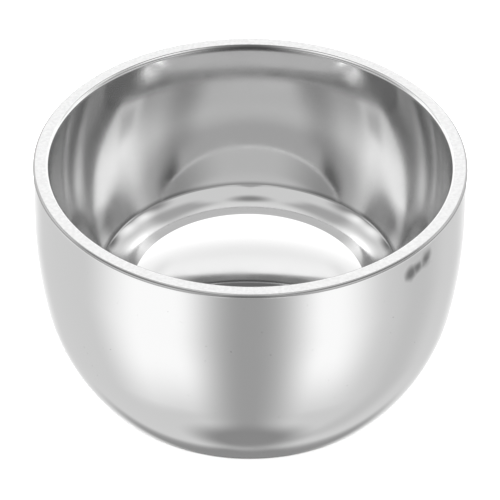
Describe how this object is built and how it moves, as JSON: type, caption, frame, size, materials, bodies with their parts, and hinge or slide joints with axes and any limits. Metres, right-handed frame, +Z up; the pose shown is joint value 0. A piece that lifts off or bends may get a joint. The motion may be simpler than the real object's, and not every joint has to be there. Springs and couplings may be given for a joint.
{
  "type": "shaving bowl",
  "caption": "Round double-wall stainless steel shaving bowl: an inner bowl hangs by its flat lip in a deeper outer shell closed by a pressed base.",
  "frame": {"origin": "centre of the circle on which the foot rests", "axes": "+Z up along the bowl's axis; X and Y are any two level directions, because the bowl is round"},
  "size_m": [0.1, 0.1, 0.0585],
  "materials": {
    "liner_steel": "polished wall with fine upright draw lines, turned floor, satin lip",
    "shell_steel": "mirror polished, with light handling scratches",
    "base_steel": "satin, turned rings",
    "rim_bond": "dark grey cured adhesive",
    "weld_steel": "ground flush"
  },
  "bodies": {
    "root": {"inner_liner": "liner_steel", "outer_shell": "shell_steel", "base_plate": "base_steel", "rim_bond": "rim_bond", "base_weld": "weld_steel"}
  },
  "joints": []
}
